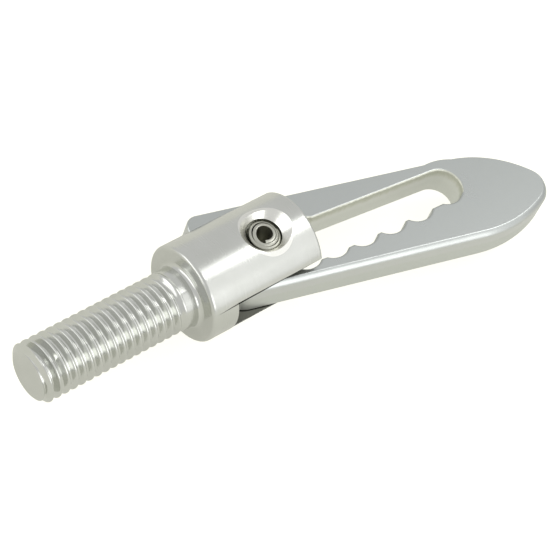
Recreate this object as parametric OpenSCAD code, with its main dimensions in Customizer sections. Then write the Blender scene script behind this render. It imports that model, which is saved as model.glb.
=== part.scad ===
// Drop-tongue fastener: a threaded stud with a forked barrel head, a flat locking tongue that
// swings and slides in the fork, and the coiled spring pin that carries the tongue.
// X runs along the stud, from the shoulder towards the tongue, and Z along the pin.
// The origin is the centre of the shoulder face.

/* [Stud] */
// Length of the threaded stud, from the shoulder to its end
stud_len = 34; // [24:1:90]
// Diameter over the thread crests (M12)
thread_d = 11.85; // [9.85:0.05:15.85]
// Thread pitch (M12 coarse)
thread_pitch = 1.75; // [1.25:0.25:2]
// Depth of the thread, from crest to root
thread_depth = 0.9; // [0.7:0.05:1.1]
// Plain length between the shoulder and the thread
plain_len = 3; // [2:0.5:8]
// Chamfer on the stud's end
end_chamfer = 1.15; // [0.8:0.05:2]
// Radius of the fillet where the stud meets the shoulder
root_fillet = 0.9; // [0.4:0.1:1.5]

/* [Barrel] */
// Diameter of the barrel head
barrel_d = 19.4; // [18:0.2:26]
// Length of the barrel head
barrel_len = 26; // [24:0.5:36]
// Solid length behind the fork
fork_base = 5.8; // [4:0.2:9]
// Rounding of the shoulder's edge
shoulder_round = 0.7; // [0.3:0.1:1.2]
// Rounding of the edge at the open end of the fork
mouth_round = 0.6; // [0.3:0.1:1.2]
// Play of the tongue in the fork, both sides together
fork_play = 2.3; // [0.6:0.1:3]
// Mouth diameter of the countersink over the pin, at the barrel's crown
countersink_d = 10.5; // [9:0.1:13]

/* [Pin] */
// Outside diameter of the coiled spring pin
pin_d = 7.4; // [6:0.1:9]
// Distance from the shoulder to the pin's axis
pin_x = 17.3; // [14:0.1:20]
// Length of the pin
pin_len = 16.6; // [12:0.1:17]
// Thickness of the strip that the pin is rolled from
strip_t = 0.65; // [0.4:0.05:0.8]
// Turns of the strip
strip_turns = 2.33; // [1.5:0.01:2.5]
// Radial clearance of the pin in the barrel
pin_clearance = 0.05; // [0.02:0.01:0.1]

/* [Tongue] */
// Thickness of the tongue
tongue_t = 7; // [5:0.5:10]
// Distance from the pin's axis to the straight edge on the rounded side of the heel
near_edge = 8.35; // [7.5:0.05:10]
// Distance from the pin's axis to the straight edge on the square side of the heel
far_edge = 10.15; // [9:0.05:12]
// Distance from the pin's axis to the tip
tongue_reach = 64.6; // [58:0.2:90]
// Radius of the square corner of the heel
heel_corner = 2.5; // [1:0.1:4]
// Radius of the tip
tip_r = 4.5; // [3:0.1:7]
// Clearance between the heel and the bottom of the fork
heel_clearance = 0.3; // [0.2:0.05:1]
// Clearance between the tongue and the lower cheek that it rests on
cheek_clearance = 0.15; // [0.1:0.05:0.3]
// Angle of the tongue to the stud, negative towards the rounded side of the heel
swing = -14.3; // [-100:0.1:0]

/* [Slot] */
// Notches along the slot
notches = 4; // [2:1:5]
// Pitch of the notches
notch_pitch = 6.8; // [6:0.1:8]
// Height of the notch centres over the line of the crests
notch_lift = 2.45; // [2.1:0.05:3]
// Metal between the slot and the outside at its far end
slot_wall = 1.9; // [1.5:0.1:3]
// Distance from the pin's axis to the centre of the slot's far end
slot_reach = 42.7; // [40:0.1:52]
// Play round the pin in a notch
notch_play = 0.2; // [0.1:0.05:0.5]
// Play round the pin at the heel end of the slot
heel_play = 0.95; // [0.4:0.05:1.2]

/* [Hidden] */
$fn = 96;
OVERLAP = 0.5;

ZINC = [0.78, 0.79, 0.78];
ZINC_TONGUE = [0.72, 0.74, 0.74];
SPRING_STEEL = [0.58, 0.58, 0.55];

// Thread: a helical ridge of 60 degree section, whose foot is sunk into the stud's core
thread_r = thread_d / 2;
root_r = thread_r - thread_depth;
flank = thread_depth * tan(30);
root_flat = thread_pitch / 4;
crest_half = thread_pitch / 2 - flank - root_flat / 2;
ridge_sink = 0.15;
foot_half = crest_half + flank + ridge_sink * tan(30);
ridge_section = [
    [root_r - ridge_sink, -foot_half],
    [thread_r, -crest_half],
    [thread_r, crest_half],
    [root_r - ridge_sink, foot_half]
];
ridge_steps = 36;
ridge_bottom = -stud_len - thread_pitch;
shank_r = thread_r + 0.03;

barrel_r = barrel_d / 2;
pin_r = pin_d / 2;
hole_r = pin_r + pin_clearance;
fork_w = tongue_t + fork_play;
tongue_z = -fork_play / 2 + cheek_clearance;

// Tongue, in its own frame: the pin's axis is the origin and X runs to the tip.
heel = pin_x - fork_base - heel_clearance;
tip = [tongue_reach - tip_r, 0.3];
far_curve_r = 24;
near_curve_r = 28;
far_curve = curve_centre(far_curve_r, far_edge - far_curve_r);
near_curve = curve_centre(near_curve_r, near_curve_r - near_edge);
swell_r = 12;
swell_h = 0.4;

// Slot, in the tongue's frame
heel_slot_r = pin_r + heel_play;
heel_slot_y = -0.3;
heel_slot_wall = 4.5;
heel_slot_x = heel_slot_wall - heel + heel_slot_r;
slot_bend_x = 12;
slot_end_r = pin_r + 0.25;
slot_end = [slot_reach, far_edge - slot_wall - slot_end_r];
far_slope = 8.25;
crest_start = [slot_bend_x, -near_edge + 3.4];
crest_end = [slot_reach, slot_end.y - 3.2];
crest_slope = atan2(crest_end.y - crest_start.y, crest_end.x - crest_start.x);
notch_r = pin_r + notch_play;
last_notch = 7.5;

// Spiral section of the pin
strip_pitch = strip_t + 0.03;
joggle = 1 / 6;
spiral_step = 1 / 36;
outer_end_angle = -4;
pin_taper_len = 1.8;
pin_taper = 0.6;

// Centre of a side curve that is level with its straight edge and runs into the tip's circle
function curve_centre(r, y) = [tip.x - sqrt((r - tip_r) ^ 2 - (tip.y - y) ^ 2), y];

// Where a side curve runs into the tip's circle
function tip_joint(centre, r) = centre + (tip - centre) * r / norm(tip - centre);

// Corners of the thread's ridge, i steps along its helix
function ridge_corners(i) =
    let (angle = 360 * i / ridge_steps, z = ridge_bottom + thread_pitch * i / ridge_steps)
    [for (corner = ridge_section) [corner.x * cos(angle), corner.x * sin(angle), z + corner.y]];

// Outside radius of the strip, u turns in from its outer end
function strip_r(u) =
    let (part = max(0, (u - floor(u) - 1 + joggle) / joggle))
    pin_r - strip_pitch * (floor(u) + part * part * (3 - 2 * part));

function on_strip(u, inset) =
    let (angle = outer_end_angle - 360 * u, r = strip_r(u) - inset)
    [r * cos(angle), r * sin(angle)];

// Fills a sharp inside corner at the origin, which opens towards +X and -Y, with a fillet
module fillet(r) {
    difference() {
        translate([-OVERLAP, -r]) square([r + OVERLAP, r + OVERLAP]);
        translate([r, -r]) circle(r);
    }
}

// Half section of the barrel, with both outer edges rounded
module barrel_profile() {
    square([barrel_r - shoulder_round, barrel_len / 2]);
    translate([0, shoulder_round]) square([barrel_r, barrel_len - shoulder_round - mouth_round]);
    translate([0, barrel_len / 2]) square([barrel_r - mouth_round, barrel_len / 2]);
    translate([barrel_r - shoulder_round, shoulder_round]) circle(shoulder_round);
    translate([barrel_r - mouth_round, barrel_len - mouth_round]) circle(mouth_round);
}

// Half section of the plain shank, with the fillet above it and the first flank below it
module shank_profile() {
    polygon([
        [0, OVERLAP],
        [shank_r, OVERLAP],
        [shank_r, -plain_len],
        [root_r - ridge_sink, -plain_len - (shank_r - root_r + ridge_sink) * tan(30)],
        [0, -plain_len - flank]
    ]);
    translate([shank_r, 0]) fillet(root_fillet);
}

module thread_ridge() {
    last = ceil((stud_len - plain_len) / thread_pitch + 1) * ridge_steps;
    corners = len(ridge_section);
    polyhedron(
        [for (i = [0:last]) each ridge_corners(i)],
        concat(
            [[for (k = [corners - 1:-1:0]) k]],
            [
                for (i = [0:last - 1], k = [0:corners - 1])
                    let (here = corners * i, beside = (k + 1) % corners)
                    [here + k, here + beside, here + beside + corners, here + k + corners]
            ],
            [[for (k = [0:corners - 1]) corners * last + k]]
        ),
        convexity = 10
    );
}

// Core and ridge, cut off together by the stud's end and its chamfer
module threaded_length() {
    intersection() {
        union() {
            translate([0, 0, ridge_bottom]) cylinder(h = -ridge_bottom, r = root_r);
            thread_ridge();
        }
        rotate_extrude() polygon([
            [0, -stud_len],
            [thread_r - end_chamfer, -stud_len],
            [thread_r + 1, end_chamfer + 1 - stud_len],
            [thread_r + 1, 0],
            [0, 0]
        ]);
    }
}

module countersink() {
    depth = countersink_d / 2 - hole_r;
    translate([pin_x, 0, barrel_r - depth])
        cylinder(h = depth + 1, r1 = hole_r, r2 = hole_r + depth + 1);
}

// One turned piece: the stud, its shoulder, and the barrel that is slotted into a fork
module threaded_stud() {
    color(ZINC)
    difference() {
        rotate([0, 90, 0]) {
            rotate_extrude() barrel_profile();
            rotate_extrude() shank_profile();
            threaded_length();
        }
        translate([fork_base, -barrel_d, -fork_w / 2])
            cube([barrel_len, 2 * barrel_d, fork_w]);
        translate([pin_x, 0, -barrel_d]) cylinder(h = 2 * barrel_d, r = hole_r);
        countersink();
        mirror([0, 0, 1]) countersink();
    }
}

// Outline of the tongue: a bar with one square and one round heel corner, and a pointed free end
module tongue_outline() {
    far_joint = tip_joint(far_curve, far_curve_r);
    near_joint = tip_joint(near_curve, near_curve_r);
    across = far_joint - near_joint;
    bar_end = max(far_curve.x, near_curve.x);
    // heel
    translate([near_edge - heel, 0]) circle(near_edge);
    translate([heel_corner - heel, far_edge - heel_corner]) circle(heel_corner);
    translate([-heel, 0]) square([2 * heel, far_edge - heel_corner]);
    translate([heel_corner - heel, 0]) square([2 * heel, far_edge]);
    // bar
    translate([near_edge - heel, -near_edge])
        square([bar_end - near_edge + heel, near_edge + far_edge]);
    // free end
    intersection() {
        translate(far_curve) circle(far_curve_r, $fn = 200);
        translate(near_curve) circle(near_curve_r, $fn = 200);
        polygon([
            [bar_end - 5, -far_curve_r],
            near_joint - 3 * across,
            far_joint + 3 * across,
            [bar_end - 5, far_curve_r]
        ]);
    }
    translate(tip) circle(tip_r);
    // the thin wall beside the slot's far end swells outwards a little
    intersection() {
        translate([slot_end.x + 1.6, far_edge + swell_h - swell_r]) circle(swell_r);
        translate([0, slot_end.y]) square([tongue_reach, swell_r]);
    }
}

// Outline of the slot: straight at the heel, then oblique, with a row of notches for the pin
module slot_outline() {
    far_point = slot_end + slot_end_r * [-sin(far_slope), cos(far_slope)];
    // heel end
    for (x = [heel_slot_x, slot_bend_x]) translate([x, heel_slot_y]) circle(heel_slot_r);
    translate([heel_slot_x, heel_slot_y - heel_slot_r])
        square([slot_bend_x - heel_slot_x, 2 * heel_slot_r]);
    // oblique stretch
    polygon([
        crest_start,
        crest_end,
        slot_end,
        far_point,
        [slot_bend_x, far_point.y - (far_point.x - slot_bend_x) * tan(far_slope)]
    ]);
    translate(slot_end) circle(slot_end_r);
    translate(crest_end) rotate(crest_slope)
        for (i = [0:notches - 1])
            translate([-last_notch - i * notch_pitch, notch_lift]) circle(notch_r);
}

module drop_tongue() {
    color(ZINC_TONGUE)
    translate([pin_x, 0, tongue_z - tongue_t / 2]) rotate(swing)
        linear_extrude(tongue_t) difference() {
            tongue_outline();
            slot_outline();
        }
}

// Rolled from strip: the outer turn is a true cylinder, and both ends taper
module coiled_pin() {
    steps = round(strip_turns / spiral_step);
    outer_steps = (1 - joggle) / spiral_step;
    color(SPRING_STEEL)
    translate([pin_x, 0, 0]) intersection() {
        translate([0, 0, -pin_len / 2]) linear_extrude(pin_len) polygon(concat(
            [for (i = [0:steps]) on_strip(i * spiral_step, i < outer_steps ? -pin_clearance : 0)],
            [for (i = [steps:-1:0]) on_strip(i * spiral_step, strip_t)]
        ));
        rotate_extrude() polygon([
            [0, -pin_len / 2],
            [pin_r - pin_taper, -pin_len / 2],
            [pin_r, pin_taper_len - pin_len / 2],
            [pin_r, pin_len / 2 - pin_taper_len],
            [pin_r - pin_taper, pin_len / 2],
            [0, pin_len / 2]
        ]);
    }
}

threaded_stud();
drop_tongue();
coiled_pin();
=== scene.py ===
"""Looks of the drop-tongue fastener: turned stud with a forked barrel, stamped tongue, coiled pin.

The shapes are drawn in millimetres and built in metres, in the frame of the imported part:
X runs along the stud towards the tongue, and Z along the pin.
"""
import math

import bmesh
import bpy
from mathutils import Matrix, Vector


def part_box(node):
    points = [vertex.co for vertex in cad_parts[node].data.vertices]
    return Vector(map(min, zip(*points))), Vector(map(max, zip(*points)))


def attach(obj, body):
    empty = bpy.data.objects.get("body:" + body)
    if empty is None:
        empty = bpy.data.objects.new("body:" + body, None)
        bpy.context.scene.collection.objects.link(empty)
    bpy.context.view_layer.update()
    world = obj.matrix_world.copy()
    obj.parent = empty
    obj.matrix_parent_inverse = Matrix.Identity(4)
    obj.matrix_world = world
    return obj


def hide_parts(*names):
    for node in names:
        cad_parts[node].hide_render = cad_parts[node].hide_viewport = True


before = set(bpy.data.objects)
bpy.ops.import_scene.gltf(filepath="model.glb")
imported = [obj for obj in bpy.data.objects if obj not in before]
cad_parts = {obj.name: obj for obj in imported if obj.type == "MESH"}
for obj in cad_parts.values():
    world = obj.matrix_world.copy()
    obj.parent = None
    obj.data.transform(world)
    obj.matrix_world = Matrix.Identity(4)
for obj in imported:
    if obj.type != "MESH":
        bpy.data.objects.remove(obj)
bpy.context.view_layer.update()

MM = 0.001
WELD = 2e-6  # metres
HAIR = 0.01  # millimetres that an edge may be off the place that picks it out
# the longest step of an arc, in angle and in length
ARC_STEP = math.radians(9)
ARC_CHORD = 0.5
# the least angle of an edge that may be rounded, and of one that is shaded sharp
SHARP = math.radians(30)
SMOOTH = math.radians(32)

# Places that the frame gives, in millimetres
pin_low, pin_high = (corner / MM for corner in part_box("coiled_pin"))
stud_low, stud_high = (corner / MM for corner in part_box("threaded_stud"))
tongue_low, tongue_high = (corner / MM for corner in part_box("drop_tongue"))
PIN_X = (pin_low.x + pin_high.x) / 2
PIN_R = (pin_high.x - pin_low.x) / 2
PIN_END = pin_high.z
BARREL_R = stud_high.z
BARREL_LEN = stud_high.x
STUD_END = stud_low.x
TONGUE_LOW = tongue_low.z
TONGUE_HIGH = tongue_high.z

# Stud
THREAD_R = 5.925
ROOT_R = 5.025
PITCH = 1.75
PLAIN_LEN = 3.0
SHANK_R = 5.955
ROOT_FILLET = 0.9
END_CHAMFER = 1.15
END_CHAMFER_LEN = 0.75
FORK_BASE = 5.8
FORK_HALF = 4.65
FORK_BREAK = 0.12
HOLE_R = 3.75
MOUTH_R = 3.5
MOUTH_Z = 7.7
COUNTERSINK_R = 5.35
CONE = (COUNTERSINK_R - MOUTH_R) / (BARREL_R - MOUTH_Z)

# Tongue, in its own frame: the pin's axis is the origin and X runs to the tip
SWING = math.radians(-14.3)
HEEL = 11.2
NEAR_EDGE = 8.35
FAR_EDGE = 10.15
TIP = Vector((60.1, 0.3))
TIP_R = 4.5
NEAR_CURVE_R = 28.0
FAR_CURVE_R = 24.0
HEEL_CORNER = 2.5
NEAR_ROLL = 1.25
FAR_ROLL_SHARE = 0.25
LOWER_ROUND = 0.35
SLOT_ROUND = 0.42

# Pin
STRIP = 0.66
STRIP_TURNS = 2.33
END_ROUND = 0.13

# Camera: millimetres of lens, the point it looks at, and azimuth, elevation and distance from it
LENS = 128.44
LOOK_AT = (14.951, -8.720, 5.846)
STANDS = (-148.32, 54.33, 366.5)
ROLL = 24.59

# Lights: name, azimuth, elevation, distance, size in millimetres, watts
LIT = (15, 0, 0)
LAMPS = (
    ("key", -8, 54, 600, (215, 180), 0.36),
    ("side", -50, 41, 700, (560, 400), 0.31),
    ("left_fill", 157, 24, 700, (760, 340), 0.95),
    ("right_fill", -88, 25, 700, (480, 400), 0.85),
    ("low_side", -60, 14, 800, (520, 340), 0.2))
WORLD_LIGHT = 0.7
WORLD_IN_METAL = 0.05
FLOOR_GLOW = 0.84
FLOOR_IN_METAL = 0.45
FLOOR_GAP = 0.05


# ---------------------------------------------------------------- drawing and shaping

def deselect():
    bpy.ops.object.select_all(action="DESELECT")


def draw(name, start, moves, upright=False):
    """A new piece, left in edit mode, drawn from corner to corner as one line of edges.
    A move is the next corner, or (centre, end, turn) for an arc, anticlockwise where turn is 1."""
    across = Vector((MM, 0, 0))
    up = Vector((0, 0, MM)) if upright else Vector((0, MM, 0))
    axis = across.cross(up).normalized()
    deselect()
    bpy.ops.mesh.primitive_plane_add(size=MM)
    piece = bpy.context.object
    piece.name = piece.data.name = name
    bpy.ops.object.mode_set(mode="EDIT")
    bpy.ops.mesh.merge(type="CENTER")
    here = Vector(start)
    bpy.ops.transform.translate(value=across * here.x + up * here.y)
    for move in moves:
        if len(move) == 2:
            step = Vector(move) - here
            bpy.ops.mesh.extrude_region_move(
                TRANSFORM_OT_translate={"value": across * step.x + up * step.y})
            here = Vector(move)
            continue
        centre, end, turn = Vector(move[0]), Vector(move[1]), move[2]
        first, last = here - centre, end - centre
        angle = turn * (math.atan2(last.y, last.x) - math.atan2(first.y, first.x)) % (2 * math.pi)
        steps = max(3, math.ceil(angle / ARC_STEP), math.ceil(angle * first.length / ARC_CHORD))
        bpy.ops.mesh.spin(
            steps=steps, angle=-turn * angle, axis=axis,
            center=across * centre.x + up * centre.y)
        here = centre + Matrix.Rotation(turn * angle, 2) @ first
    bpy.ops.mesh.select_all(action="SELECT")
    bpy.ops.mesh.remove_doubles(threshold=WELD)
    return piece


def thicken(piece, low, high):
    """Fills the drawn outline and extrudes it from one height to the other."""
    bpy.ops.mesh.edge_face_add()
    bpy.ops.transform.translate(value=(0, 0, low * MM))
    bpy.ops.mesh.extrude_region_move(TRANSFORM_OT_translate={"value": (0, 0, (high - low) * MM)})
    close(piece)


def lathe(piece, steps, axis=(1, 0, 0), centre_x=0.0):
    """Turns the drawn half section round an axis."""
    bpy.ops.mesh.spin(steps=steps, angle=2 * math.pi, axis=axis, center=(centre_x * MM, 0, 0))
    close(piece)


def close(piece):
    """Welds a piece, turns its faces outwards and leaves edit mode."""
    bpy.ops.mesh.select_all(action="SELECT")
    bpy.ops.mesh.remove_doubles(threshold=WELD)
    bpy.ops.mesh.normals_make_consistent(inside=False)
    bpy.ops.object.mode_set(mode="OBJECT")


def apply_modifier(piece, kind, **settings):
    bpy.context.view_layer.objects.active = piece
    bpy.ops.object.modifier_add(type=kind)
    modifier = piece.modifiers[-1]
    for key, value in settings.items():
        setattr(modifier, key, value)
    bpy.ops.object.modifier_apply(modifier=modifier.name)


def combine(piece, tool, operation):
    """A Boolean with another piece, which is used up."""
    apply_modifier(piece, "BOOLEAN", object=tool, operation=operation, solver="MANIFOLD")
    bpy.data.objects.remove(tool)


def clean(piece):
    """Welds the slivers that a union leaves."""
    deselect()
    bpy.context.view_layer.objects.active = piece
    bpy.ops.object.mode_set(mode="EDIT")
    bpy.ops.mesh.select_all(action="SELECT")
    bpy.ops.mesh.remove_doubles(threshold=WELD)
    bpy.ops.mesh.dissolve_degenerate(threshold=WELD)
    bpy.ops.object.mode_set(mode="OBJECT")


def select_edges(piece, wanted):
    """Goes into edit mode with the edges selected whose two ends and face angle suit."""
    deselect()
    bpy.context.view_layer.objects.active = piece
    bpy.ops.object.mode_set(mode="EDIT")
    bpy.ops.mesh.select_mode(type="EDGE")
    bpy.ops.mesh.select_all(action="DESELECT")
    mesh = bmesh.from_edit_mesh(piece.data)
    for edge in mesh.edges:
        if len(edge.link_faces) == 2 and edge.calc_face_angle() > SHARP:
            a, b = (v.co / MM for v in edge.verts)
            edge.select_set(wanted(a, b))
    bmesh.update_edit_mesh(piece.data)


def round_edges(piece, wanted, radius, segments):
    """Rounds the sharp edges whose two ends suit."""
    select_edges(piece, wanted)
    bpy.ops.mesh.bevel(
        offset=radius * MM, offset_type="OFFSET", segments=segments, affect="EDGES",
        clamp_overlap=False, loop_slide=False)
    bpy.ops.mesh.select_mode(type="VERT")
    bpy.ops.mesh.select_all(action="SELECT")
    bpy.ops.mesh.remove_doubles(threshold=WELD)
    bpy.ops.object.mode_set(mode="OBJECT")


def ease(x):
    """0 before 0, 1 after 1, and smooth between."""
    x = min(max(x, 0.0), 1.0)
    return x * x * (3 - 2 * x)


def smooth(piece):
    """Smooth shading between the sharp edges, with the large faces kept level."""
    deselect()
    piece.select_set(True)
    bpy.context.view_layer.objects.active = piece
    bpy.ops.object.shade_smooth_by_angle(angle=SMOOTH)
    apply_modifier(piece, "WEIGHTED_NORMAL", keep_sharp=True)


# ---------------------------------------------------------------- stud

def thread():
    """One pitch of the thread, with soft crests and roots, screwed along the stud and cut off."""
    section = [
        (0.16, 0.01), (0.26, 0.09), (0.64, 0.76), (0.69, 0.84), (0.75, 0.885), (0.81, 0.9),
        (0.94, 0.9), (1.00, 0.885), (1.06, 0.84), (1.11, 0.76), (1.49, 0.09), (1.59, 0.01)]
    low = STUD_END - PITCH
    turns = math.ceil((-STUD_END + 1) / PITCH) + 1
    steps = 84
    piece = draw(
        "thread", (low, ROOT_R),
        [(low + x, ROOT_R + r) for x, r in section] + [(low + PITCH, ROOT_R)], upright=True)
    bpy.ops.object.mode_set(mode="OBJECT")
    apply_modifier(
        piece, "SCREW", axis="X", angle=2 * math.pi, screw_offset=PITCH * MM,
        iterations=turns, steps=steps, render_steps=steps, use_merge_vertices=True,
        merge_threshold=WELD)
    bpy.ops.object.mode_set(mode="EDIT")
    bpy.ops.mesh.select_all(action="SELECT")
    bpy.ops.mesh.remove_doubles(threshold=WELD)
    bpy.ops.mesh.select_mode(type="EDGE")
    bpy.ops.mesh.select_all(action="DESELECT")
    bpy.ops.mesh.select_non_manifold()
    bpy.ops.mesh.extrude_edges_move()
    bpy.ops.mesh.merge(type="COLLAPSE")
    bpy.ops.mesh.select_mode(type="VERT")
    close(piece)
    # the groove is deeper at the stud's end, and runs out over its last turn before the plain part
    deep_len, deep_fade, deeper = 4.4, 1.5, 0.5
    run_out, run_out_share = 1.9, 0.85
    for vertex in piece.data.vertices:
        radius = math.hypot(vertex.co.y, vertex.co.z) / MM
        first = ease((STUD_END + deep_len - vertex.co.x / MM) / deep_fade)
        if radius > 1 and first > 0:
            depth = (THREAD_R - radius) / (THREAD_R - ROOT_R)
            vertex.co.yz *= 1 - deeper * first * depth / radius
        out = ease((vertex.co.x / MM + PLAIN_LEN + run_out) / run_out)
        if radius > 1 and out > 0:
            lift = (THREAD_R - radius) * out * run_out_share
            vertex.co.yz *= (radius + lift) / radius
    spare = 1
    blank_r = THREAD_R + spare
    chamfer_len = END_CHAMFER_LEN * (END_CHAMFER + spare) / END_CHAMFER
    blank = draw("blank", (STUD_END, 0), [
        (STUD_END, THREAD_R - END_CHAMFER),
        (STUD_END + chamfer_len, blank_r),
        (-spare, blank_r),
        (-spare, 0)], upright=True)
    lathe(blank, 144)
    combine(piece, blank, "INTERSECT")
    return piece


def turned_stud():
    """The turned body, with its fork, its cross hole and its thread."""
    shoulder, mouth, into_thread, spare = 0.7, 0.6, 0.55, 10
    top, end = BARREL_R, BARREL_LEN
    fillet = SHANK_R + ROOT_FILLET
    piece = draw(
        "turned_stud", (end, 0), [
            (end, top - mouth),
            ((end - mouth, top - mouth), (end - mouth, top), 1),
            (shoulder, top),
            ((shoulder, top - shoulder), (0, top - shoulder), 1),
            (0, fillet),
            ((-ROOT_FILLET, fillet), (-ROOT_FILLET, SHANK_R), -1),
            (-PLAIN_LEN, SHANK_R),
            (-PLAIN_LEN - into_thread, ROOT_R - 2 * HAIR),
            (-PLAIN_LEN - into_thread, 0)], upright=True)
    lathe(piece, 160)

    bpy.ops.mesh.primitive_cube_add(
        size=1, location=((FORK_BASE + BARREL_LEN + spare) / 2 * MM, 0, 0),
        scale=((BARREL_LEN - FORK_BASE + spare) * MM, 4 * BARREL_R * MM, 2 * FORK_HALF * MM))
    fork = bpy.context.object
    bpy.ops.object.transform_apply()
    combine(piece, fork, "DIFFERENCE")
    round_edges(
        piece, lambda a, b: min(a.x, b.x) > FORK_BASE - HAIR
        and max(abs(a.z), abs(b.z)) < FORK_HALF + HAIR,
        FORK_BREAK, 2)

    # the hole closes a little towards its mouths, where the cones begin
    straight_z, land, outside = 5.9, 0.3, BARREL_R + 2
    half = [
        (HOLE_R, straight_z), (MOUTH_R, MOUTH_Z - land), (MOUTH_R, MOUTH_Z),
        (MOUTH_R + CONE * (outside - MOUTH_Z), outside), (0, outside)]
    half = [(PIN_X + r, z) for r, z in half]
    drill = draw(
        "drill", (PIN_X, -outside), [(x, -z) for x, z in half[-2::-1]] + half, upright=True)
    lathe(drill, 128, axis=(0, 0, 1), centre_x=PIN_X)
    combine(piece, drill, "DIFFERENCE")
    combine(piece, thread(), "UNION")
    clean(piece)
    smooth(piece)
    return piece


# ---------------------------------------------------------------- tongue

def curve_centre(radius, y):
    """Centre of a side curve that leaves its straight edge and runs into the tip's circle."""
    return Vector((TIP.x - math.sqrt((radius - TIP_R) ** 2 - (TIP.y - y) ** 2), y))


def along(origin, angle, distance, offset=0.0):
    """The point at a distance along a line through the origin, and an offset to its left."""
    way = Vector((math.cos(angle), math.sin(angle)))
    return origin + way * distance + Vector((-way.y, way.x)) * offset


def tongue_outline():
    """The plate's outline, with a slight swell of its far side before the tip."""
    far = curve_centre(FAR_CURVE_R, FAR_EDGE - FAR_CURVE_R)
    near = curve_centre(NEAR_CURVE_R, NEAR_CURVE_R - NEAR_EDGE)
    far_joint = far + (TIP - far).normalized() * FAR_CURVE_R
    near_joint = near + (TIP - near).normalized() * NEAR_CURVE_R
    swell, swell_from, swell_to = (44.3, -1.45), (47.42, 10.139), (41.23, FAR_EDGE)
    return draw("drop_tongue_plate", (NEAR_EDGE - HEEL, -NEAR_EDGE), [
        (near.x, -NEAR_EDGE),
        (near, near_joint, 1),
        (TIP, far_joint, 1),
        (far, swell_from, 1),
        (swell, swell_to, 1),
        (HEEL_CORNER - HEEL, FAR_EDGE),
        ((HEEL_CORNER - HEEL, FAR_EDGE - HEEL_CORNER), (-HEEL, FAR_EDGE - HEEL_CORNER), 1),
        (-HEEL, 0),
        ((NEAR_EDGE - HEEL, 0), (NEAR_EDGE - HEEL, -NEAR_EDGE), 1)])


def slot_outline():
    """The slot: straight at the heel, then oblique, with a row of notches for the pin."""
    heel_r, heel_x, heel_y = 4.65, -2.05, -0.3
    bend_x, bend_end = 12.0, (13.53, 4.091)
    end, end_r = Vector((42.7, 4.3)), 3.95
    crest = Vector((end.x, 1.1))
    side = heel_y - heel_r
    slope = math.atan2(crest.y - side, crest.x - bend_x)
    far_slope = math.radians(8.25)
    # the notches' centres lie off the line of the crests; the last one is cut less deep
    notch_r, first_notch, notch_pitch = 3.9, 7.5, 6.8
    lifts = (2.45, 2.45, 2.6, 2.9)
    heel_notch = Vector((8.5, -2.45))
    far_point = end + end_r * Vector((-math.sin(far_slope), math.cos(far_slope)))
    # where the end circle runs into the line of the crests
    foot = (end.y - crest.y) * math.sin(slope)
    chord = math.sqrt(end_r ** 2 - ((end.y - crest.y) * math.cos(slope)) ** 2)
    moves = [
        (bend_x, heel_y + heel_r),
        ((bend_x, heel_y), bend_end, -1),
        far_point,
        (end, along(crest, slope, foot - chord), -1)]
    for i, lift in enumerate(lifts):
        middle = -first_notch - i * notch_pitch
        half = math.sqrt(notch_r ** 2 - lift ** 2)
        moves += [
            along(crest, slope, middle + half),
            (along(crest, slope, middle, lift), along(crest, slope, middle - half), -1)]
    # a further notch is cut into the straight side
    half = math.sqrt(notch_r ** 2 - (heel_notch.y - side) ** 2)
    moves += [
        (heel_notch.x + half, side),
        (heel_notch, (heel_notch.x - half, side), -1),
        (heel_x, side),
        ((heel_x, heel_y), (heel_x, heel_y + heel_r), -1)]
    return draw("slot", (heel_x, heel_y + heel_r), moves)


def roll_over(piece):
    """Rounds the upper outer edge, wide on the near side and narrow on the far side, as the punch
    left it. The width changes over the heel and over the tip."""
    fade_y, fade = 2.5, 6
    weights = piece.data.attributes.new("bevel_weight_edge", "FLOAT", "EDGE")
    for edge in piece.data.edges:
        a, b = (piece.data.vertices[i].co / MM for i in edge.vertices)
        if min(a.z, b.z) > TONGUE_HIGH - HAIR:
            near = ease((fade_y - (a.y + b.y) / 2) / fade)
            weights.data[edge.index].value = FAR_ROLL_SHARE + (1 - FAR_ROLL_SHARE) * near
    apply_modifier(
        piece, "BEVEL", width=NEAR_ROLL * MM, offset_type="OFFSET", segments=8,
        limit_method="WEIGHT", profile=0.38, use_clamp_overlap=False)
    piece.data.attributes.remove(piece.data.attributes["bevel_weight_edge"])


def stamped_tongue():
    """The plate, rounded along its outer edges, then slotted and rounded along the slot."""
    top, low, beyond = TONGUE_HIGH, TONGUE_LOW, 2
    piece = tongue_outline()
    thicken(piece, low, top)
    roll_over(piece)
    round_edges(piece, lambda a, b: max(a.z, b.z) < low + HAIR, LOWER_ROUND, 3)
    slot = slot_outline()
    thicken(slot, low - beyond, top + beyond)
    combine(piece, slot, "DIFFERENCE")
    round_edges(
        piece, lambda a, b: abs(a.z - b.z) < HAIR
        and abs(abs(a.z - (top + low) / 2) - (top - low) / 2) < HAIR,
        SLOT_ROUND, 4)
    piece.data.transform(Matrix.Translation((PIN_X * MM, 0, 0)) @ Matrix.Rotation(SWING, 4, "Z"))
    smooth(piece)
    return piece


# ---------------------------------------------------------------- pin

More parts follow.
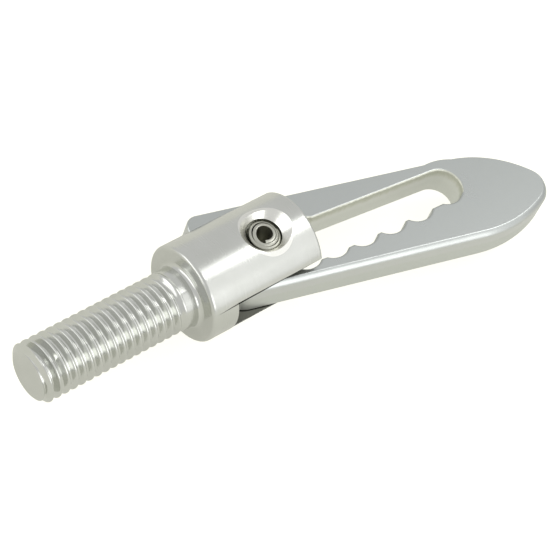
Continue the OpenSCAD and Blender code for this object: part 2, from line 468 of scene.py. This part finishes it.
def rolled_pin():
    """A strip drawn along its spiral from its inner end, extruded, given its thickness, and swaged
    and rounded at both ends. The bore and the outside are both round, and a little off each other's
    centre, because one side has a turn more than the other."""
    steps, off, lap, inside = 60, 0.3, 0.7, 0.003
    inner_r, outer_r = 1.88, PIN_R - STRIP / 2 - inside
    first_angle, thick_side = -122, math.radians(-63)
    # in turns from the inner end: where the strip climbs over its start, and then to the outside
    over_start, to_outside, climb = 0.7, 1.33, 0.3

    def middle(i):
        u = i / steps
        angle = math.radians(first_angle + 360 * u)
        outside = outer_r - off + off * math.cos(angle - thick_side)
        r = inner_r + lap * ease((u - over_start) / climb)
        r += (outside - r) * ease((u - to_outside) / climb)
        return (PIN_X + r * math.cos(angle), r * math.sin(angle))

    points = [middle(i) for i in range(round(STRIP_TURNS * steps) + 1)]
    piece = draw("rolled_pin", points[0], points[1:])
    levels = [PIN_END, 8.2, 7.8, 7.4, 7.0, 6.6, 6.2, 5.8, 5.4]
    levels = [-z for z in levels] + levels[::-1]
    bpy.ops.transform.translate(value=(0, 0, levels[0] * MM))
    for low, high in zip(levels, levels[1:]):
        bpy.ops.mesh.extrude_region_move(
            TRANSFORM_OT_translate={"value": (0, 0, (high - low) * MM)})
    bpy.ops.object.mode_set(mode="OBJECT")
    apply_modifier(piece, "SOLIDIFY", thickness=STRIP * MM, offset=0.0, use_even_offset=True)
    bpy.ops.object.mode_set(mode="EDIT")
    close(piece)
    round_edges(piece, lambda a, b: min(abs(a.z), abs(b.z)) > PIN_END - HAIR, END_ROUND, 2)
    # both ends are swaged: the outer turns lean in and stand back behind the inner ones
    axis = Vector((PIN_X, 0)) * MM
    most_lean, lean_z, lean_len, lean_r, lean_width = 0.25, 5.3, 2.0, 2.2, 1.4
    most_drop, drop_z, drop_len, drop_r, drop_width, dome = 0.95, 5.8, 2.6, 1.8, 1.6, 1.6
    for vertex in piece.data.vertices:
        arm = vertex.co.xy - axis
        radius = arm.length / MM
        height = abs(vertex.co.z) / MM
        lean = most_lean * ease((height - lean_z) / lean_len) * ease((radius - lean_r) / lean_width)
        outward = max(radius - lean - drop_r, 0.0) / drop_width
        drop = most_drop * outward ** dome * ease((height - drop_z) / drop_len)
        vertex.co.xy = axis + arm * (radius - lean) / radius
        vertex.co.z = math.copysign((height - drop) * MM, vertex.co.z)
    smooth(piece)
    return piece


# ---------------------------------------------------------------- materials

def colour(hex_code):
    """Linear RGBA of an sRGB hex colour."""
    parts = [int(hex_code[i:i + 2], 16) / 255 for i in (1, 3, 5)]
    return [c / 12.92 if c <= 0.04045 else ((c + 0.055) / 1.055) ** 2.4 for c in parts] + [1.0]


def add(tree, kind, inputs=None, **settings):
    """Adds a node with its settings, and its inputs set to a value or linked from a socket.
    A Mix node's inputs are 0 for the factor, 2 and 3 for numbers, and 6 and 7 for colours."""
    new = tree.nodes.new(kind)
    for key, value in settings.items():
        setattr(new, key, value)
    for socket, value in (inputs or {}).items():
        if isinstance(value, bpy.types.NodeSocket):
            tree.links.new(value, new.inputs[socket])
        else:
            new.inputs[socket].default_value = value
    return new


def metal(name):
    """A new metal, with its node tree and its shader."""
    material = bpy.data.materials.new(name)
    material.use_nodes = True
    shader = material.node_tree.nodes["Principled BSDF"]
    shader.inputs["Metallic"].default_value = 1.0
    return material, material.node_tree, shader


def turned_zinc():
    """Bright zinc plate on turned steel: satin gloss, with fine feed marks round the axis."""
    material, tree, shader = metal("zinc_plated_turned_steel")
    place = add(tree, "ShaderNodeTexCoord").outputs["Object"]
    split = add(tree, "ShaderNodeSeparateXYZ", {0: place})
    round_x = add(tree, "ShaderNodeCombineXYZ", {1: split.outputs[1], 2: split.outputs[2]})
    radius = add(tree, "ShaderNodeVectorMath", {0: round_x.outputs[0]}, operation="LENGTH")
    drift = add(tree, "ShaderNodeMath", {0: split.outputs[1], 1: 0.04}, operation="MULTIPLY")
    turned = add(tree, "ShaderNodeCombineXYZ", {
        0: split.outputs[0], 1: radius.outputs["Value"], 2: drift.outputs[0]})
    # feed marks about 0.25 mm apart
    marks = add(tree, "ShaderNodeTexNoise", {
        "Vector": turned.outputs[0], "Scale": 4000.0, "Detail": 3.0, "Roughness": 0.6})
    cloud = add(tree, "ShaderNodeTexNoise", {"Vector": place, "Scale": 260.0, "Detail": 3.0})
    rough = add(tree, "ShaderNodeMapRange", {
        "Value": marks.outputs[0], "From Min": 0.3, "From Max": 0.7,
        "To Min": 0.21, "To Max": 0.28})
    tint = add(tree, "ShaderNodeMix", {
        0: cloud.outputs[0], 6: colour("#D9DAD6"), 7: colour("#CED0CA")}, data_type="RGBA")
    # painted shade: the milled faces inside the fork are coloured dark, standing in for the shade
    # that falls between its cheeks
    inside = add(tree, "ShaderNodeMath", {
        0: split.outputs[0], 1: (FORK_BASE - 2 * HAIR) * MM}, operation="GREATER_THAN")
    height = add(tree, "ShaderNodeMath", {0: split.outputs[2]}, operation="ABSOLUTE")
    between = add(tree, "ShaderNodeMath", {
        0: height.outputs[0], 1: (FORK_HALF + 2 * HAIR) * MM}, operation="LESS_THAN")
    fork_shade = add(tree, "ShaderNodeMath", {
        0: inside.outputs[0], 1: between.outputs[0]}, operation="MULTIPLY")
    tint = add(tree, "ShaderNodeMix", {
        0: fork_shade.outputs[0], 6: tint.outputs[2], 7: colour("#71716A")}, data_type="RGBA")
    # the countersinks have coarser tool marks, about 0.5 mm apart, round the pin
    from_pin = add(tree, "ShaderNodeMath", {
        0: split.outputs[0], 1: PIN_X * MM}, operation="SUBTRACT")
    across = add(tree, "ShaderNodeCombineXYZ", {0: from_pin.outputs[0], 1: split.outputs[1]})
    arm = add(tree, "ShaderNodeVectorMath", {0: across.outputs[0]}, operation="LENGTH")
    near_pin = add(tree, "ShaderNodeMath", {
        0: arm.outputs["Value"], 1: (COUNTERSINK_R - 4 * HAIR) * MM}, operation="LESS_THAN")
    high = add(tree, "ShaderNodeMath", {
        0: height.outputs[0], 1: (MOUTH_Z - 10 * HAIR) * MM}, operation="GREATER_THAN")
    countersink_marks_and_sheen = add(tree, "ShaderNodeMath", {
        0: near_pin.outputs[0], 1: high.outputs[0]}, operation="MULTIPLY")
    # painted sheen: the countersinks are also coloured lighter, standing in for their bright
    # reflection
    tint = add(tree, "ShaderNodeMix", {
        0: countersink_marks_and_sheen.outputs[0], 6: tint.outputs[2], 7: colour("#ECECE6")}, data_type="RGBA")
    tree.links.new(tint.outputs[2], shader.inputs["Base Color"])
    turn = add(tree, "ShaderNodeCombineXYZ", {0: arm.outputs["Value"], 1: drift.outputs[0]})
    rings = add(tree, "ShaderNodeTexNoise", {
        "Vector": turn.outputs[0], "Scale": 2000.0, "Detail": 2.0, "Roughness": 0.6})
    relief = add(tree, "ShaderNodeMix", {
        0: countersink_marks_and_sheen.outputs[0], 2: marks.outputs[0], 3: rings.outputs[0]})
    # the stud with its thread is brighter than the barrel
    stud = add(tree, "ShaderNodeMath", {0: split.outputs[0], 1: 0.0}, operation="LESS_THAN")
    rough = add(tree, "ShaderNodeMath", {
        0: stud.outputs[0], 1: -0.06, 2: rough.outputs[0]}, operation="MULTIPLY_ADD")
    tree.links.new(rough.outputs[0], shader.inputs["Roughness"])
    depth = add(tree, "ShaderNodeMapRange", {
        "Value": countersink_marks_and_sheen.outputs[0], "To Min": 0.01 * MM, "To Max": 0.6 * MM})
    bump = add(tree, "ShaderNodeBump", {
        "Height": relief.outputs[0], "Strength": 0.12, "Distance": depth.outputs[0]})
    tree.links.new(bump.outputs[0], shader.inputs["Normal"])
    return material


def stamped_zinc():
    """Zinc plate on stamped steel: satin faces, and sheared walls that are smooth in their upper
    part and torn below it, with upright streaks. The slot's far edge is ragged and yellowish."""
    material, tree, shader = metal("zinc_plated_stamped_steel")
    where = add(tree, "ShaderNodeTexCoord")
    place = where.outputs["Object"]
    cloud = add(tree, "ShaderNodeTexNoise", {"Vector": place, "Scale": 120.0, "Detail": 3.0})
    grain = add(tree, "ShaderNodeTexNoise", {"Vector": place, "Scale": 1500.0, "Detail": 3.0})
    # streaks about 0.6 mm apart, six times as long
    upright = add(tree, "ShaderNodeMapping", {"Vector": place, "Scale": (1.0, 1.0, 0.16)})
    streaks = add(tree, "ShaderNodeTexNoise", {
        "Vector": upright.outputs[0], "Scale": 1700.0, "Detail": 3.0})
    up = add(tree, "ShaderNodeSeparateXYZ", {0: where.outputs["Normal"]})
    level = add(tree, "ShaderNodeMath", {0: up.outputs[2]}, operation="ABSOLUTE")
    wall = add(tree, "ShaderNodeMapRange", {
        "Value": level.outputs[0], "From Min": 0.2, "From Max": 0.75, "To Min": 1.0, "To Max": 0.0})
    # the torn part of the wall begins about 3 mm below the upper face, at an uneven line
    height = add(tree, "ShaderNodeSeparateXYZ", {0: place})
    uneven = add(tree, "ShaderNodeMath", {
        0: streaks.outputs[0], 1: 1.5 * MM, 2: height.outputs[2]}, operation="MULTIPLY_ADD")
    torn = add(tree, "ShaderNodeMapRange", {
        "Value": uneven.outputs[0], "From Min": (TONGUE_HIGH - 2.9) * MM,
        "From Max": (TONGUE_HIGH - 2.0) * MM, "To Min": 1.0, "To Max": 0.0})
    face = add(tree, "ShaderNodeMix", {
        0: cloud.outputs[0], 6: colour("#C8CCCA"), 7: colour("#B9BDBA")}, data_type="RGBA")
    sheared = add(tree, "ShaderNodeMix", {
        0: torn.outputs[0], 6: colour("#D8DAD8"), 7: colour("#D6D9D4")}, data_type="RGBA")
    tint = add(tree, "ShaderNodeMix", {
        0: wall.outputs[0], 6: face.outputs[2], 7: sheared.outputs[2]}, data_type="RGBA")
    # painted light: the slot's far wall is coloured lighter, making up for light that it does not
    # get; in the tongue's own frame it is past the heel, and 2 to 9 mm from the middle line
    own = add(tree, "ShaderNodeMapping", {
        "Vector": place, "Location": (PIN_X * MM, 0, 0), "Rotation": (0, 0, SWING)},
        vector_type="TEXTURE")
    side = add(tree, "ShaderNodeSeparateXYZ", {0: own.outputs[0]})
    across = add(tree, "ShaderNodeMath", {
        0: side.outputs[1], 1: 5.5 * MM, 2: 3.4 * MM}, operation="COMPARE")
    past_heel = add(tree, "ShaderNodeMath", {
        0: side.outputs[0], 1: -7 * MM}, operation="GREATER_THAN")
    slot_side = add(tree, "ShaderNodeMath", {
        0: across.outputs[0], 1: past_heel.outputs[0]}, operation="MULTIPLY")
    slot_wall_light = add(tree, "ShaderNodeMath", {
        0: slot_side.outputs[0], 1: wall.outputs[0]}, operation="MULTIPLY")
    tint = add(tree, "ShaderNodeMix", {
        0: slot_wall_light.outputs[0], 6: tint.outputs[2], 7: colour("#ECEEE8")}, data_type="RGBA")
    # its upper 1.5 mm and the edge above them are worn
    edge = add(tree, "ShaderNodeMapRange", {
        "Value": level.outputs[0], "From Min": 0.98, "From Max": 0.85})
    upper = add(tree, "ShaderNodeMapRange", {
        "Value": uneven.outputs[0], "From Min": (TONGUE_HIGH - 1.5) * MM,
        "From Max": (TONGUE_HIGH - 0.2) * MM})
    worn = add(tree, "ShaderNodeMath", {
        0: edge.outputs[0], 1: upper.outputs[0]}, operation="MULTIPLY")
    worn = add(tree, "ShaderNodeMath", {
        0: worn.outputs[0], 1: slot_side.outputs[0]}, operation="MULTIPLY")
    tint = add(tree, "ShaderNodeMix", {
        0: worn.outputs[0], 6: tint.outputs[2], 7: colour("#DFE0D3")}, data_type="RGBA")
    rough_face = add(tree, "ShaderNodeMapRange", {
        "Value": cloud.outputs[0], "From Min": 0.3, "From Max": 0.7,
        "To Min": 0.27, "To Max": 0.33})
    rough_wall = add(tree, "ShaderNodeMapRange", {
        "Value": torn.outputs[0], "To Min": 0.3, "To Max": 0.45})
    rough = add(tree, "ShaderNodeMix", {
        0: wall.outputs[0], 2: rough_face.outputs[0], 3: rough_wall.outputs[0]})
    rough = add(tree, "ShaderNodeMath", {
        0: worn.outputs[0], 1: 0.2, 2: rough.outputs[0]}, operation="MULTIPLY_ADD")
    tree.links.new(tint.outputs[2], shader.inputs["Base Color"])
    tree.links.new(rough.outputs[0], shader.inputs["Roughness"])
    relief = add(tree, "ShaderNodeMix", {
        0: wall.outputs[0], 2: grain.outputs[0], 3: streaks.outputs[0]})
    deep = add(tree, "ShaderNodeMath", {
        0: wall.outputs[0], 1: torn.outputs[0]}, operation="MULTIPLY")
    relief = add(tree, "ShaderNodeMix", {
        0: worn.outputs[0], 2: relief.outputs[0], 3: grain.outputs[0]})
    deep = add(tree, "ShaderNodeMath", {
        0: deep.outputs[0], 1: worn.outputs[0]}, operation="MAXIMUM")
    strength = add(tree, "ShaderNodeMapRange", {
        "Value": deep.outputs[0], "To Min": 0.08, "To Max": 0.8})
    reach = add(tree, "ShaderNodeMapRange", {
        "Value": worn.outputs[0], "To Min": 0.03 * MM, "To Max": 0.25 * MM})
    bump = add(tree, "ShaderNodeBump", {
        "Height": relief.outputs[0], "Strength": strength.outputs[0],
        "Distance": reach.outputs[0]})
    tree.links.new(bump.outputs[0], shader.inputs["Normal"])
    return material


def spring_steel():
    """Rolled spring strip: smooth and a little darker than the zinc."""
    material, tree, shader = metal("rolled_spring_steel")
    place = add(tree, "ShaderNodeTexCoord").outputs["Object"]
    cloud = add(tree, "ShaderNodeTexNoise", {"Vector": place, "Scale": 900.0, "Detail": 3.0})
    tint = add(tree, "ShaderNodeMix", {
        0: cloud.outputs[0], 6: colour("#CCCCC2"), 7: colour("#BDBDB2")}, data_type="RGBA")
    rough = add(tree, "ShaderNodeMapRange", {
        "Value": cloud.outputs[0], "From Min": 0.3, "From Max": 0.7,
        "To Min": 0.26, "To Max": 0.4})
    tree.links.new(tint.outputs[2], shader.inputs["Base Color"])
    tree.links.new(rough.outputs[0], shader.inputs["Roughness"])
    return material


# ---------------------------------------------------------------- studio

def aim(obj, target, azimuth, elevation, distance, roll=0.0):
    """Puts an object round a target, in degrees and millimetres, and turns its -Z to the target."""
    az, el = math.radians(azimuth), math.radians(elevation)
    back = Vector((math.cos(el) * math.cos(az), math.cos(el) * math.sin(az), math.sin(el)))
    right = (-back).cross(Vector((0, 0, 1))).normalized()
    up = right.cross(-back)
    axes = Matrix((right, up, back)).transposed()
    obj.rotation_euler = (axes @ Matrix.Rotation(math.radians(roll), 3, "Z")).to_euler()
    obj.location = (Vector(target) + back * distance) * MM


def lamp(name, azimuth, elevation, distance, size, power):
    """A soft rectangular light, in degrees, millimetres and watts, turned to the barrel."""
    data = bpy.data.lights.new(name, "AREA")
    data.shape = "RECTANGLE"
    data.size, data.size_y = (s * MM for s in size)
    data.energy = power
    obj = bpy.data.objects.new(name, data)
    bpy.context.scene.collection.objects.link(obj)
    aim(obj, LIT, azimuth, elevation, distance)


def seen_rays(tree, in_metal):
    """1 for the rays that see a white background, and less for what metal shows of it."""
    ray = add(tree, "ShaderNodeLightPath").outputs
    glossy = add(tree, "ShaderNodeMath", {
        0: ray["Is Glossy Ray"], 1: in_metal}, operation="MULTIPLY")
    straight = add(tree, "ShaderNodeMath", {
        0: ray["Is Camera Ray"], 1: ray["Is Transmission Ray"]}, operation="MAXIMUM")
    return add(tree, "ShaderNodeMath", {
        0: straight.outputs[0], 1: glossy.outputs[0]}, operation="MAXIMUM").outputs[0]


def studio():
    """Camera, soft lights, white world and pale floor."""
    camera = bpy.data.objects.new("camera", bpy.data.cameras.new("camera"))
    bpy.context.scene.collection.objects.link(camera)
    camera.data.lens = LENS
    camera.data.sensor_width = 36
    camera.data.clip_start = 0.01
    aim(camera, LOOK_AT, *STANDS, roll=ROLL)
    bpy.context.scene.camera = camera

    world = bpy.data.worlds.new("studio_light")
    bpy.context.scene.world = world
    world.use_nodes = True
    tree = world.node_tree
    back = tree.nodes["Background"]
    strength = add(tree, "ShaderNodeMapRange", {
        "Value": seen_rays(tree, WORLD_IN_METAL), "To Min": WORLD_LIGHT, "To Max": 1.0})
    tree.links.new(strength.outputs[0], back.inputs["Strength"])
    back.inputs["Color"].default_value = (1, 1, 1, 1)

    for name, *how in LAMPS:
        lamp(name, *how)

    bpy.ops.mesh.primitive_plane_add(size=4, location=(0, 0, (stud_low.z - FLOOR_GAP) * MM))
    floor = bpy.context.object
    floor.name = "floor"
    material = bpy.data.materials.new("pale_floor")
    material.use_nodes = True
    tree = material.node_tree
    shader = tree.nodes["Principled BSDF"]
    shader.inputs["Base Color"].default_value = colour("#ACACA5")
    shader.inputs["Roughness"].default_value = 0.9
    shader.inputs["Emission Color"].default_value = colour("#FFFEF5")
    glow = add(tree, "ShaderNodeMath", {
        0: seen_rays(tree, FLOOR_IN_METAL), 1: FLOOR_GLOW}, operation="MULTIPLY")
    tree.links.new(glow.outputs[0], shader.inputs["Emission Strength"])
    floor.data.materials.append(material)


# ---------------------------------------------------------------- the object

def place(piece, body, node, slot, material):
    """Gives a piece its body, the node it stands for and its material, which the node gets too."""
    piece.data.materials.clear()
    piece.data.materials.append(material)
    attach(piece, body)
    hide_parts(node)
    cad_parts[node].data.materials.clear()
    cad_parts[node].data.materials.append(material)


bpy.context.scene.view_settings.view_transform = "Standard"
studio()
place(turned_stud(), "stud_body", "threaded_stud", "zinc_plated_turned_steel", turned_zinc())
place(stamped_tongue(), "tongue_body", "drop_tongue", "zinc_plated_stamped_steel", stamped_zinc())
place(rolled_pin(), "pin_body", "coiled_pin", "spring_steel", spring_steel())
